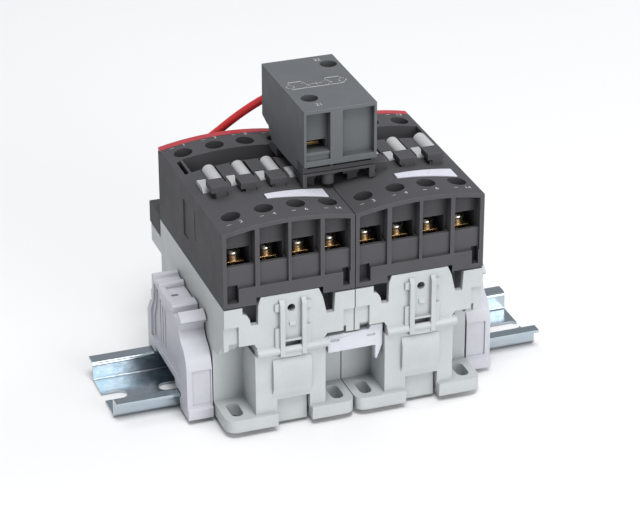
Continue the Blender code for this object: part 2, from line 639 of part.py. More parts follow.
def build_carrier(side, place):
    """Everything that travels with the contact carrier. The empty lies on the axis of travel."""
    slide = empty(f"carrier_slide_{side}", (MODULE_W / 2, MECH_Y, 0), place)

    def moving(name, *shapes, **rest):
        made = part(name, *shapes, parent=slide, **rest)
        for item in (made, *(step.object for step in made.modifiers)):
            item.matrix_parent_inverse = Matrix.Translation(-slide.location)

    moving(f"armature_{side}", CORE_STEEL, box(CORE_X, MAGNET_Y, (ARMATURE_Z, 49)),
           add=[box(CORE_X, leg, (CORE_TOP_Z + TRAVEL + GAP, 44)) for leg in LEGS_Y])

    column = box((2.6, 42.4), (-8, 2.4), (53, 69.8))
    yoke = box((9, 36), (-12, 6.4), (49.3, 54))
    cheeks = [box(x, (-12, 6.4), (44.4, 50)) for x in ((9, 13.7), (31.3, 36))]
    top = box((2.6, 42.4), (-8.4, SLIDER_Y[1]), (69.2, 70))
    half_round = [(-SLIDER_HALF, 69.5), (SLIDER_HALF, 69.5), *arc((0, 75.2), SLIDER_HALF, 0, 180, 8)]
    sliders = [plate([(x + u, z) for u, z in half_round], SLIDER_Y, "Y") for x in SLIDERS]
    tab_side = [(TAB_Y[0], 69.5), (TAB_Y[1], 69.5), (TAB_Y[1], 76.6), (TAB_Y[0] + 1.6, 76.6),
                (TAB_Y[0], 75.2)]
    tabs = [plate(tab_side, (x - 1.5, x + 1.5), "X") for x in TABS]
    windows = [box((x - 2.9, x + 2.9), (-14, 10), (64.2, 69.2)) for x in POLES]
    moving(f"carrier_{side}", WHITE, column, add=[yoke, *cheeks, top, *sliders, *tabs], cut=windows)

    for number, x in enumerate(POLES, 1):
        tips = [rod((x, MECH_Y + reach, 64.2), TIP_R, 1.0, sides=12) for reach in (-TIP_REACH, TIP_REACH)]
        helix = spring((x, MECH_Y), 1.6, 0.3, (65.2, 68.9), 2.5, 8)
        moving(f"bridge_{side}_{number}", COPPER,
               box((x - 2.3, x + 2.3), (MECH_Y - 12, MECH_Y + 12), (64.5, 65.7)), add=[*tips, helix])


def build_latch(side, place):
    """The sliding latch under the bulged panel, which holds the rail's front flange."""
    part(f"rail_latch_{side}", WHITE, box((18.2, 29), (-36.4, -34.6), (1.4, 10.8)),
         add=[box((18.2, 29), (-36, -15.9), (2.6, 6.2))], parent=place)


# ---------------------------------------------------------------- clips and interlock


def build_clips(root):
    """Two clips that hold the contactors side by side, one in each recess below the front plates."""
    bar = [(-8.9, 24.4), (7.7, 24.4), (7.7, 19.4), (8.4, 19.4), (10.3, 24.4), (10.3, 32.2),
           (6, 32.2), (5.4, 30.8), (-8.9, 30.8)]
    pegs = [box((x - 1.5, x + 1.5), (-35, -25.3), (26, 29.6)) for x in (-5, 5)]
    dents = [box(x, (-37.6, -36.3), (28.2, 28.9)) for x in ((-8, -5), (4.8, 7.6))]
    part("clip_front", CLIP, plate(bar, (-36.9, -34.2), "Y"), add=pegs, cut=dents, parent=root)
    bar = [(-8.9, 24.4), (8.9, 24.4), (8.9, 30.8), (-8.9, 30.8)]
    pegs = [box((x - 1.5, x + 1.5), (BACK_Y + GAP, 36), (26, 29.6)) for x in (-5, 5)]
    part("clip_rear", CLIP, plate(bar, (35.2, 37.9), "Y"), add=pegs, parent=root)


def build_interlock(root):
    """The block plugged across the seam: lower frame, housing, terminals, plungers and rocker."""
    x0, x1 = BLOCK_X
    y0, y1 = FRAME_Y
    low, high = BLOCK_Z
    seam = [(x0, 76.5), (-5, 75.7), (0, 74.8), (5, 75.7), (x1, 76.9)]
    frame = plate([*seam, (x1, low - GAP), (x0, low - GAP)], (y0, y1), "Y")
    skirt = 1.4
    cuts = [
        box((x0 + 1.6, x1 - 1.6), (y0 + 1.8, 8.2), (70, 81.9)),
        box((x0 + 2.8, x1 - 2.8), (8, y1 - 1.6), (70, 81.9)),
        box((x0 - 1, x1 + 1), (-15.3, 8.2), (74, 80.3)),
        box((x0 + 1.3, x1 - 2), (y0 - 1, y0 + 2), (70, 80.4)),
        box((x0 - 1, x0 + skirt + GAP), (-13.4, 17), (79.2, 86)),
        box((x1 - skirt - GAP, x1 + 1), (-13.4, 17), (79.2, 86)),
        box((x0 - 1, x1 + 1), (y0 - 1, y0 + 0.5), (81.3, 81.8)),
        box((x0 + 1.4, -1.6), (y0 - 1, y0 + 0.7), (83.1, 86)),
        box((-0.6, x1 - 1.5), (y0 - 1, y0 + 0.7), (83.1, 86)),
        *(box((x - 1.9, x + 1.9), (-0.3, 5.3), (80, 85)) for x in PLUNGERS),
    ]
    made = part("interlock_base", DARK, frame, cut=cuts, parent=root)
    boolean(made, "UNION", [rod((-1.7, -16.2, 79.4), 2.2, 6, sides=20)])

    back_y = BLOCK_Y[1]
    body = box(BLOCK_X, BLOCK_Y, BLOCK_Z)
    skirt_side = [(-13, low + 0.5), (-13, 80.4), (12.4, 79.7), (15.3, 82.6), (16.8, low + 0.5)]
    skirts = [plate(skirt_side, span, "X") for span in ((x0, x0 + skirt), (x1 - skirt, x1))]
    front_screw, back_screw = BLOCK_SCREWS
    cuts = [
        plate([(25, 87), (25, 83), (17.6, 83), (17.6, low - 0.1), (back_y, 85.6), (back_y + 0.6, 87)],
              (x0 - 1, x1 + 1), "X"),
        box((x0 + 2, x1 - 2), (-4.4, 9.4), (82, 101.8)),
        box((-10.1, -1.9), (-21, -16.4), (89, 102.8)),
        box((-10.1, -1.9), (-21, -19.5), (88, 89.2)),
        box((-10.1, -1.9), (-21, -19.1), (86.2, 88)),
        box((front_screw[0] - 3.6, -2.3), (-17.6, -14.8), (88.6, 92.1)),
        box((front_screw[0] - 3.6, -2.3), (-15, -6), (88.4, 97)),
        box((2.3, 13.2), (-21, -17.6), (86.3, 102.8)),
        box((5.6, 13.2), (19.4, 25), (89, 102.8)),
        box((5.6, 13.2), (22.3, 25), (87, 89.2)),
        box((6.4, 13), (18.6, 20), (88.6, 92.1)),
        box((6.4, 13), (11.2, 18.8), (88.4, 97)),
        rod((-1.5, back_y, 92.8), WIRE_R + GAP, 5, "Y"),
        *(rod((x, y, 101), 2.95, 12, sides=20) for x, y in BLOCK_SCREWS),
    ]
    part("interlock_housing", GREY, body, add=skirts, cut=cuts, parent=root)

    for name, (x, y) in zip(("front", "back"), BLOCK_SCREWS):
        fixing, drive = screw(x, y, 92.6, 2.6, 1.4, 89)
        clamp = box((x - 3, x + 2.6), (y - 3.2, y + 3.2), (91.6, 92.8))
        part(f"interlock_terminal_{name}", BRASS, box((x - 2.8, x + 2.4), (y - 3.2, y + 3.2), (88.9, 89.9)),
             add=[clamp, *fixing], cut=drive, parent=root)

    px, py, pz = ROCKER_PIVOT
    rocker = [(px - 8, pz - 0.9), (px - 1.8, pz - 1.8), (px + 1.8, pz - 1.8), (px + 8, pz - 0.9),
              (px + 8, pz + 0.4), (px + 2, pz + 1), (px - 2, pz + 1), (px - 8, pz + 0.4)]
    part("interlock_rocker", WHITE, plate(rocker, (py - 1.5, py + 1.5), "Y"),
         cut=[rod((px, py, pz - 0.4), 1.08, 8, "Y", sides=24)], parent=root, pivot=(px, py, pz - 0.4))
    part("rocker_pin", STEEL, rod((px, py + 0.3, pz - 0.4), 1.0, 5, "Y", sides=24), parent=root,
         pivot=(px, py, pz - 0.4))


def build_plungers(root):
    for side, x in zip(("left", "right"), PLUNGERS):
        part(f"plunger_{side}", WHITE, box((x - 1.6, x + 1.6), (0, 5), (77.8, 90)), parent=root,
             pivot=(x, 2.5, 77.8))


def smooth_route(points, steps):
    """Points along a smooth curve through the route's own points."""
    route = [Vector(point) for point in points]
    route = [2 * route[0] - route[1], *route, 2 * route[-1] - route[-2]]
    path = []
    for a, b, c, d in zip(route, route[1:], route[2:], route[3:]):
        for k in range(steps):
            t = k / steps
            path.append(0.5 * (2 * b + (c - a) * t + (2 * a - 5 * b + 4 * c - d) * t**2
                               + (3 * b - a - 3 * c + d) * t**3))
    return [*path, route[-2]]


def build_wire(root):
    part("jumper_wire", WIRE, tube(smooth_route(WIRE_ROUTE, 3), WIRE_R), parent=root, smooth=True)


# ---------------------------------------------------------------- assembly


def main():
    root = empty("reversing_contactor", (0, SHIFT_Y, 0))
    build_rail(root)
    for side in (-1, 1):
        build_end_stop(root, side)
    for side, x in (("left", LEFT_X), ("right", RIGHT_X)):
        place = empty(f"contactor_{side}", (x, 0, 0), root)
        build_base(side, place)
        build_housing(side, place)
        build_trim(side, place)
        build_terminals(side, place)
        build_coil_terminals(side, place)
        build_magnet(side, place)
        build_carrier(side, place)
        build_latch(side, place)
    build_clips(root)
    build_interlock(root)
    build_plungers(root)
    build_wire(root)


main()
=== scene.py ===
import json
import math

import bmesh
import bpy
from mathutils import Matrix, Vector


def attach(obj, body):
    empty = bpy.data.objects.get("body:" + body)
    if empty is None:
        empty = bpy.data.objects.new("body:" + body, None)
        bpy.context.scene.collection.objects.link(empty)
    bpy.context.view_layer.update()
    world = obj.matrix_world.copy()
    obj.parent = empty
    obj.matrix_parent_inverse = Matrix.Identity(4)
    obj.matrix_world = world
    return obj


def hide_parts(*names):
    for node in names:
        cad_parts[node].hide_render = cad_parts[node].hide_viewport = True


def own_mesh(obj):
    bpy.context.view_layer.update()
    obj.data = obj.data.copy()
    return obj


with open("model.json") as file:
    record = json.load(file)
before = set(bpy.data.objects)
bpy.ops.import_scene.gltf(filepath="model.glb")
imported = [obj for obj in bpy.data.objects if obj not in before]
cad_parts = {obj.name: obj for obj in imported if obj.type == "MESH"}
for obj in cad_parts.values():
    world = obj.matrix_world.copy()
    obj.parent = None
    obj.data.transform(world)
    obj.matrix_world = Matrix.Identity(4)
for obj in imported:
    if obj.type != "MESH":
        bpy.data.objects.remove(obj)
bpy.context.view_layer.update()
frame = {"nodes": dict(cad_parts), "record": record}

NODES = frame["nodes"]
MM = 0.001

# Lengths below are millimetres in the row frame, unless a name says otherwise. ROW_Y moves the rail's own
# y coordinates into that frame.
ROW_Y = -5.9
FIXED = "fixed"
MODULE_W = 45.0
SIDES = {"left": -MODULE_W, "right": 0.0}
POLES = (6.2, 17.3, 28.1, 39.0)
FRONT_Y, BACK_Y = -38.4, 32.8
MECH_Y = (FRONT_Y + BACK_Y) / 2
LOAD_SCREW_Y, LINE_SCREW_Y = -28.3, 23.5
CROWN, SIDE_TOP_Z = 2.5, 74.3
CONTACT_SPREAD = 9.6
TERMINAL_STRIP_Z = (57.4, 58.6)
BLOCK_TOP_Z = 104.0
BLOCK_SCREWS = {"front": (-5.5, -9.7), "back": (10.0, 15.2)}
COIL_POLES = (11.0, 34.0)
COIL_SCREW_Y = 38.3
COIL_SCREW_TOP_Z = 47.45
SPRING_Z = (35.5, 42.7)
RAIL_LENGTH, RAIL_HALF_WIDTH, RAIL_WALL_Y, RAIL_DEPTH, RAIL_SHEET = 152.0, 17.5, 13.5, 7.5, 1.0
RAIL_SLOT, RAIL_SLOT_PITCH, RAIL_FIRST_SLOT_X = (25.0, 5.2), 36.0, -80.1
WIRE_R = 1.43
WIRE_ROUTE = (
    (-34, 43.8, 44.6),
    (-34, 47.6, 44.8),
    (-33.4, 50.4, 49),
    (-30.6, 49.4, 58),
    (-26.2, 45.4, 66.5),
    (-20.8, 40.6, 73.6),
    (-14.8, 36.3, 80.4),
    (-8.6, 31.6, 86.6),
    (-3.4, 27.2, 91),
    (-1.6, 24, 92.6),
    (-1.5, 21.5, 92.8),
)


# ------------------------------------------------------------------ materials


class Look:
    """A material whose nodes are made in a chain. Surface patterns follow the row frame's own metres."""

    def __init__(self, name, roughness=0.5, metallic=0.0, **sockets):
        self.material = bpy.data.materials.new(name)
        self.material.use_nodes = True
        self.tree = self.material.node_tree
        self.shader = self.tree.nodes["Principled BSDF"]
        self.place = self.node("ShaderNodeTexCoord").outputs["Object"]
        self.set(self.shader, {"Roughness": roughness, "Metallic": metallic, **sockets})

    def set(self, node, values):
        for key, value in values.items():
            if isinstance(value, bpy.types.NodeSocket):
                self.tree.links.new(value, node.inputs[key])
            else:
                node.inputs[key].default_value = value

    def node(self, kind, values=None, **settings):
        made = self.tree.nodes.new(kind)
        for key, value in settings.items():
            setattr(made, key, value)
        self.set(made, values or {})
        return made

    def noise(self, scale, detail=2.0, roughness=0.5, stretch=None):
        """Noise with features of about 1 / scale metres, longer along an axis where stretch is small."""
        place = self.place
        if stretch:
            place = self.node("ShaderNodeMapping", {"Vector": place, "Scale": stretch}).outputs[0]
        values = {"Vector": place, "Scale": scale, "Detail": detail, "Roughness": roughness}
        return self.node("ShaderNodeTexNoise", values).outputs[0]

    def span(self, value, low, high, to_low=0.0, to_high=1.0):
        values = {"Value": value, "From Min": low, "From Max": high, "To Min": to_low, "To Max": to_high}
        return self.node("ShaderNodeMapRange", values).outputs[0]

    def mix(self, share, first, second):
        made = self.node("ShaderNodeMix", data_type="RGBA")
        self.set(made, {0: share, 6: first, 7: second})
        return made.outputs[2]

    def multiply(self, first, second):
        made = self.node("ShaderNodeMath", operation="MULTIPLY")
        self.set(made, {0: first, 1: second})
        return made.outputs[0]

    def edges(self, radius):
        """Near 1 along convex and concave edges, and 0 on flat faces."""
        rounded = self.node("ShaderNodeBevel", {"Radius": radius}, samples=6).outputs[0]
        flat = self.node("ShaderNodeNewGeometry").outputs["True Normal"]
        facing = self.node("ShaderNodeVectorMath", {0: rounded, 1: flat}, operation="DOT_PRODUCT")
        return self.span(facing.outputs["Value"], 0.985, 0.86)

    def crevice_shade_mask(self, distance):
        """1 in crevices and 0 in the open, from ambient occlusion; it masks the painted shade in crevices."""
        open_sky = self.node("ShaderNodeAmbientOcclusion", {"Distance": distance}, samples=6).outputs["AO"]
        return self.span(open_sky, 0.75, 0.2)

    def bump(self, height, strength, distance, rounding=0.0):
        """Raises the surface by a pattern. Rounding is how far, in metres, sharp edges look rounded."""
        values = {"Height": height, "Strength": strength, "Distance": distance}
        if rounding:
            values["Normal"] = self.node("ShaderNodeBevel", {"Radius": rounding}, samples=6).outputs[0]
        self.set(self.shader, {"Normal": self.node("ShaderNodeBump", values).outputs[0]})


def shade(colour, factor):
    return (*(min(1.0, channel * factor) for channel in colour), 1.0)


def moulded(name, colour, roughness, grain, edge_highlight, crevice_shade, gloss=0.3):
    """Moulded plastic: spark-eroded grain, slight flow mottling, a painted highlight along edges and painted
    shade in crevices.
    """
    look = Look(name, roughness, **{"Specular IOR Level": gloss})
    mottle = look.noise(70, 4, 0.6)
    fine = look.noise(1900, 3, 0.65)
    body = look.mix(look.span(mottle, 0.3, 0.7), shade(colour, 0.94), shade(colour, 1.05))
    body = look.mix(look.span(fine, 0.35, 0.75, 0.0, 0.16), body, shade(colour, 1.3))
    # Painted highlight: lighter along convex and concave edges, broken up by noise
    painted_edge_highlight = look.multiply(look.edges(0.00035), look.span(look.noise(260, 3), 0.3, 0.65, 0.25, 0.9))
    body = look.mix(painted_edge_highlight, body, shade(colour, edge_highlight))
    # Painted shade: darker in crevices, from ambient occlusion
    body = look.mix(look.crevice_shade_mask(0.006), body, shade(colour, crevice_shade))
    blotch = look.span(look.noise(150, 4, 0.6), 0.25, 0.75, roughness - 0.07, roughness + 0.07)
    look.set(look.shader, {"Base Color": body, "Roughness": blotch})
    look.bump(fine, grain, 0.00004, 0.0002)
    return look.material


def plated(name, colour, roughness, tint, streak, scale):
    """Plated sheet or turned metal: rolling streaks, a passivation tint in patches and painted shade in
    crevices.
    """
    look = Look(name, roughness, 1.0)
    rolled = look.noise(scale, 3, 0.6, tuple(1 / s for s in streak))
    patches = look.noise(95, 3, 0.55)
    body = look.mix(look.span(patches, 0.35, 0.68), shade(colour, 1.0), (*tint, 1.0))
    body = look.mix(look.span(rolled, 0.35, 0.7, 0.0, 0.35), body, shade(colour, 0.72))
    # Painted shade: darker in crevices, from ambient occlusion
    body = look.mix(look.crevice_shade_mask(0.003), body, shade(colour, 0.45))
    blur = look.span(look.noise(700, 4, 0.6), 0.25, 0.75, roughness - 0.08, roughness + 0.12)
    look.set(look.shader, {"Base Color": body, "Roughness": blur})
    look.bump(rolled, 0.2, 0.00003)
    return look.material


def ribbed(name, colour, roughness, pitch, axis, metallic):
    """Bands one pitch apart along an axis, for laminations and wound wire."""
    look = Look(name, roughness, metallic)
    # A wave texture repeats every 0.314 / scale
    values = {"Vector": look.place, "Scale": 0.314 / pitch, "Distortion": 0.25}
    wave = look.node("ShaderNodeTexWave", values, bands_direction=axis).outputs[0]
    body = look.mix(look.span(wave, 0.1, 0.9), shade(colour, 0.35), shade(colour, 1.1))
    body = look.mix(look.span(look.noise(120, 3), 0.35, 0.75, 0.0, 0.3), body, shade(colour, 0.7))
    blur = look.span(wave, 0, 1, roughness + 0.15, roughness)
    look.set(look.shader, {"Base Color": body, "Roughness": blur})
    look.bump(wave, 0.6, 0.0001)
    return look.material


def insulation(name, colour):
    """Soft wire insulation with drawing lines and a slight bloom."""
    look = Look(name, 0.33, **{"Specular IOR Level": 0.5})
    bloom = look.noise(180, 4, 0.6)
    body = look.mix(look.span(bloom, 0.35, 0.75), shade(colour, 0.9), shade(colour, 1.12))
    look.set(look.shader, {"Base Color": body, "Roughness": look.span(bloom, 0.3, 0.7, 0.26, 0.42)})
    look.bump(look.noise(1500, 2), 0.15, 0.00004)
    return look.material


# Of the two factors after grain, the first paints a highlight along edges and the second paints shade into
# crevices
WHITE = moulded("white_moulding", (0.455, 0.478, 0.48), 0.46, grain=0.35, edge_highlight=1.12, crevice_shade=0.62)
DARK = moulded("dark_moulding", (0.078, 0.077, 0.082), 0.6, grain=0.7, edge_highlight=1.8, crevice_shade=0.36, gloss=0.08)
GREY = moulded("grey_moulding", (0.122, 0.130, 0.137), 0.58, grain=0.75, edge_highlight=1.6, crevice_shade=0.42, gloss=0.1)
SLIDER = moulded("slider_moulding", (0.46, 0.46, 0.465), 0.42, grain=0.3, edge_highlight=1.15, crevice_shade=0.6)
STOP = moulded("stop_moulding", (0.51, 0.515, 0.555), 0.42, grain=0.3, edge_highlight=1.12, crevice_shade=0.65)
CLIP = moulded("clip_moulding", (0.55, 0.56, 0.61), 0.36, grain=0.2, edge_highlight=1.05, crevice_shade=0.7)
LABEL = moulded("label_film", (0.62, 0.62, 0.69), 0.3, grain=0.1, edge_highlight=1.02, crevice_shade=0.8)
RED = moulded("red_moulding", (0.42, 0.045, 0.055), 0.38, grain=0.3, edge_highlight=1.3, crevice_shade=0.6)
INK = moulded("white_print", (0.62, 0.62, 0.62), 0.55, grain=0.2, edge_highlight=1.0, crevice_shade=0.9)
BLACK = moulded("bobbin_moulding", (0.025, 0.025, 0.027), 0.5, grain=0.5, edge_highlight=1.6, crevice_shade=0.5)
WIRE = insulation("red_insulation", (0.62, 0.028, 0.03))
ZINC = plated("zinc_plate", (0.52, 0.56, 0.6), 0.17, (0.42, 0.53, 0.59), streak=(30, 1, 1), scale=900)
SCREW = plated("screw_plate", (0.74, 0.72, 0.68), 0.26, (0.70, 0.62, 0.46), streak=(1, 1, 1), scale=900)
BRASS = plated("terminal_brass", (0.72, 0.50, 0.24), 0.27, (0.60, 0.34, 0.14), streak=(1, 12, 1), scale=700)
SILVER = plated("contact_silver", (0.80, 0.79, 0.76), 0.25, (0.70, 0.66, 0.58), streak=(1, 1, 1), scale=1200)
COPPER = plated("contact_copper", (0.74, 0.38, 0.22), 0.3, (0.62, 0.28, 0.14), streak=(1, 12, 1), scale=700)
CORE = ribbed("laminated_steel", (0.33, 0.33, 0.35), 0.4, 0.0005, "X", 1.0)
WINDING = ribbed("wound_copper", (0.62, 0.25, 0.10), 0.35, 0.0004, "Z", 0.6)

LOOK_OF_SLOT = {
    "zinc": ZINC, "stop_plastic": STOP, "clip_plastic": CLIP, "dark_plastic": DARK, "grey_plastic": GREY,
    "white_plastic": WHITE, "label_plastic": LABEL, "red_plastic": RED, "wire_insulation": WIRE,
    "screw_steel": SCREW, "core_steel": CORE, "brass": BRASS, "copper": COPPER,
}


# ------------------------------------------------------------------ edges of the carried-over pieces


SPLIT_ANGLE = math.radians(22)
BEVEL_ANGLE = math.radians(32)
# Radius in millimetres by the start of a node's name. Other nodes get EDGE_OTHER.
EDGE = {"housing": 0, "base": 0.3, "end_stop": 0.3, "interlock": 0.25, "clip": 0.3, "carrier": 0.3,
        "coil_terminals": 0.2, "din_rail": 0.12, "rail_latch": 0.3, "stripe": 0.1, "marker": 0.08}
EDGE_OTHER = 0.1


def soften(thing, width):
    """Rounds the edges of a piece made of flat facets, and shades its curved faces smooth.

    With no width the edges stay sharp, and only the material rounds them.
    """
    mesh = thing.data
    if "custom_normal" in mesh.attributes:
        mesh.attributes.remove(mesh.attributes["custom_normal"])
    mesh.polygons.foreach_set("use_smooth", [True] * len(mesh.polygons))
    mesh.update()
    weld = thing.modifiers.new("weld", "WELD")
    weld.merge_threshold = 0.000002
    if not width:
        split = thing.modifiers.new("split_edges", "EDGE_SPLIT")
        split.split_angle = SPLIT_ANGLE
        return
    merge = thing.modifiers.new("merge_flat_faces", "DECIMATE")
    merge.decimate_type = "DISSOLVE"
    merge.angle_limit = math.radians(0.6)
    bevel = thing.modifiers.new("round_edges", "BEVEL")
    bevel.width = width * MM
    bevel.segments = 2
    bevel.limit_method = "ANGLE"
    bevel.angle_limit = BEVEL_ANGLE
    bevel.miter_outer = "MITER_ARC"
    normals = thing.modifiers.new("face_normals", "WEIGHTED_NORMAL")
    normals.keep_sharp = False
    normals.weight = 80


def finish_cad_nodes():
    """Gives every carried-over node its material and rounded edges."""
    slots = {entry["node"]: entry["material_slot"] for entry in frame["record"]["subparts"]}
    for name, thing in NODES.items():
        thing.data.materials.clear()
        thing.data.materials.append(SLIDER if name.startswith("carrier") else LOOK_OF_SLOT[slots[name]])
        soften(thing, next((size for start, size in EDGE.items() if name.startswith(start)), EDGE_OTHER))


# ------------------------------------------------------------------ shapes of the detailed pieces


def arc(centre, radius, start, end, steps):
    """Points along an arc, with angles in degrees."""
    turns = (math.radians(start + (end - start) * k / steps) for k in range(steps + 1))
    return [(centre[0] + radius * math.cos(turn), centre[1] + radius * math.sin(turn)) for turn in turns]


def rounded_rectangle(x, y, radius, steps=5):
    corners = ((x[1] - radius, y[1] - radius, 0), (x[0] + radius, y[1] - radius, 90),
               (x[0] + radius, y[0] + radius, 180), (x[1] - radius, y[0] + radius, 270))
    return [point for cx, cy, turn in corners for point in arc((cx, cy), radius, turn, turn + 90, steps)]


def prism(shape, outline, span, axis="Z"):
    """Adds a bar with this outline: (y, z) points along X, (x, z) along Y or (x, y) along Z."""
    low, high = span
    order = {"X": (2, 0, 1), "Y": (0, 2, 1), "Z": (0, 1, 2)}[axis]

    def place(*point):
        return tuple(point[k] for k in order)

    face = shape.faces.new([shape.verts.new(place(u, v, low)) for u, v in outline])
    grown = bmesh.ops.extrude_face_region(shape, geom=[face])["geom"]
    step = Vector(place(0, 0, high - low))
    bmesh.ops.translate(shape, vec=step, verts=[v for v in grown if isinstance(v, bmesh.types.BMVert)])


def block(shape, x, y, z):
    prism(shape, [(x[0], y[0]), (x[1], y[0]), (x[1], y[1]), (x[0], y[1])], z)


def ring(shape, outer, inner, span):
    """Adds a straight-walled ring between two outlines with the same number of points."""
    rings = [[shape.verts.new((*point, z)) for point in outline]
             for outline, z in ((outer, span[0]), (outer, span[1]), (inner, span[1]), (inner, span[0]))]
    for first, second in zip(rings, rings[1:] + rings[:1]):
        for k in range(len(outer)):
            following = (k + 1) % len(outer)
            shape.faces.new((first[k], first[following], second[following], second[k]))


def lathe(shape, profile, sides=32):
    """Adds a turned form. The profile is (radius, z) points, and starts and ends on the axis."""
    turns = [2 * math.pi * k / sides for k in range(sides)]
    rings = []
    for radius, z in profile:
        if radius == 0:
            rings.append([shape.verts.new((0, 0, z))])
        else:
            rings.append([shape.verts.new((radius * math.cos(turn), radius * math.sin(turn), z))
                          for turn in turns])
    for lower, upper in zip(rings, rings[1:]):
        for k in range(sides):
            following = (k + 1) % sides
            corners = [lower[k % len(lower)], lower[following % len(lower)],
                       upper[following % len(upper)], upper[k % len(upper)]]
            shape.faces.new(list(dict.fromkeys(corners)))


def mesh_of(name, build):
    """A mesh in metres from a function that fills a bmesh in millimetres."""
    shape = bmesh.new()
    build(shape)
    bmesh.ops.recalc_face_normals(shape, faces=shape.faces[:])
    bmesh.ops.scale(shape, vec=(MM, MM, MM), verts=shape.verts[:])
    mesh = bpy.data.meshes.new(name)
    shape.to_mesh(mesh)
    shape.free()
    return mesh


def carve(mesh, *cutters):
    """The mesh with the cutters taken out of it."""
    body = bpy.data.objects.new("carved", mesh)
    bpy.context.scene.collection.objects.link(body)
    tools = []
    for number, cutter in enumerate(cutters):
        tool = bpy.data.objects.new(f"cutter_{number}", cutter)
        bpy.context.scene.collection.objects.link(tool)
        step = body.modifiers.new("cut", "BOOLEAN")
        step.operation, step.object, step.solver = "DIFFERENCE", tool, "EXACT"
        tools.append(tool)
    view = bpy.context.evaluated_depsgraph_get()
    result = bpy.data.meshes.new_from_object(body.evaluated_get(view))
    result.name = mesh.name
    for thing in (body, *tools):
        bpy.data.objects.remove(thing)
    return result


def piece(name, mesh, look, body, replaced=(), place=(0, 0, 0), turn=0.0, bevel=0.0, angle=30.0):
    """Puts one piece of the object in the scene, in millimetres, with its turn in degrees about Z."""
    made = bpy.data.objects.new(name, mesh)
    bpy.context.scene.collection.objects.link(made)
    if not mesh.materials:
        mesh.materials.append(look)
        mesh.polygons.foreach_set("use_smooth", [True] * len(mesh.polygons))
    made.location = Vector(place) * MM
    made.rotation_euler.z = math.radians(turn)
    if bevel:
        edge = made.modifiers.new("round_edges", "BEVEL")
        edge.width, edge.segments, edge.limit_method = bevel * MM, 2, "ANGLE"
        edge.angle_limit = math.radians(angle)
    normals = made.modifiers.new("face_normals", "WEIGHTED_NORMAL")
    normals.weight = 80
    bpy.context.view_layer.update()
    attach(made, body)
    if replaced:
        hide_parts(*replaced)
    return made


def arch_z(x):
    """Height of a contactor's crowned front face at x from its left side."""
    half = MODULE_W / 2
    return SIDE_TOP_Z + CROWN * (1 - ((x - half) / half) ** 2)


# ------------------------------------------------------------------ terminals


def screw_mesh(name, head_z, head_r, shank_r, shank_end):
    """A pan-head screw with a combined slot and cross recess, a washer under its head and a rolled thread."""
    pitch, head_height, recess_depth, slot_width = 0.62, 2.3, 1.15, 0.8
    top = head_z + head_height
    thread = []
    z = shank_end + 0.4
    while z < head_z - 1.2:
        thread += [(shank_r * 0.8, z), (shank_r, z + pitch * 0.4), (shank_r, z + pitch * 0.55)]
        z += pitch
    profile = [(0, shank_end), (shank_r * 0.6, shank_end), *thread, (shank_r * 0.8, head_z - 0.5),
               (head_r * 0.97, head_z - 0.45), (head_r, head_z - 0.3), (head_r, head_z - 0.1),
               (head_r * 0.9, head_z), (head_r * 0.93, head_z + 0.05), (head_r * 0.96, head_z + 1.2),
               *((head_r * (0.72 + 0.24 * math.cos(a)), head_z + 1.3 + 0.9 * math.sin(a))
                 for a in (0.4, 0.8, 1.2, math.pi / 2)), (0, top)]
    body = mesh_of(name, lambda shape: lathe(shape, profile))
    bottom = top - recess_depth
    across, past, wing = (-slot_width / 2, slot_width / 2), (-head_r - 1, head_r + 1), 0.95 * head_r / 1.8
    slot_cut = mesh_of("slot", lambda shape: block(shape, across, past, (bottom, top + 1)))
    deeper = (bottom - 0.4, top + 1)
    cross = mesh_of("cross", lambda shape: block(shape, (-wing, wing), (-0.42, 0.42), deeper))
    return carve(body, slot_cut, cross)


def strip_mesh(sign):
    """The fixed contact under the screw, serrated where it grips the conductor, with a tongue to its tip."""
    low, high = TERMINAL_STRIP_Z
    screw_y = LOAD_SCREW_Y if sign < 0 else LINE_SCREW_Y
    reach = MECH_Y + sign * CONTACT_SPREAD - screw_y - sign * 2.2

    def build(shape):
        outer = sign * 4.6
        outline = [(-3.6, outer), (3.6, outer), (3.6, -sign * 3.0), (3.0, -sign * 3.6), (2.1, -sign * 3.6),
                   (2.1, reach), (-2.1, reach), (-2.1, -sign * 3.6), (-3.0, -sign * 3.6), (-3.6, -sign * 3.0)]
        prism(shape, outline, (low, high))
        for k in range(4):
            y = sign * (1.9 + 0.62 * k)
            ridge = [(y - 0.25, high - 0.05), (y + 0.25, high - 0.05), (y, high + 0.28)]
            prism(shape, ridge, (-3.2, 3.2), "X")

    return mesh_of("contact_strip", build)


def saddle_mesh(sign):
    """The saddle clamp: a pressed square washer, whose sides turn down and whose lip guides the wire."""
    def build(shape):
        side = [(-3.75, 59.3), (-3.1, 59.3), (-2.35, 60.75), (2.35, 60.75), (3.1, 59.3), (3.75, 59.3),
                (3.75, 59.9), (2.75, 61.55), (-2.75, 61.55), (-3.75, 59.9)]
        prism(shape, side, sorted((sign * 4.3, -sign * 3.4)), "Y")
        lip = [(sign * 4.25, 60.8), (sign * 4.25, 61.5), (sign * 5.1, 62.2), (sign * 5.3, 61.8)]
        prism(shape, lip, (-2.4, 2.4), "X")

    body = mesh_of("saddle_clamp", build)
    hole = mesh_of("hole", lambda shape: lathe(shape, [(0, 58), (1.85, 58), (1.85, 63), (0, 63)]))
    return carve(body, hole)


def tip_mesh():
    """The silver tip that the moving bridge lands on, sunk slightly into its strip."""
    z, thick, radius = TERMINAL_STRIP_Z[1] - 0.02, 0.85, 1.85
    profile = [(0, z), (radius - 0.1, z), (radius, z + 0.1), (radius, z + thick - 0.25),
               (radius - 0.25, z + thick - 0.05), (0, z + thick)]
    return mesh_of("contact_tip", lambda shape: lathe(shape, profile))


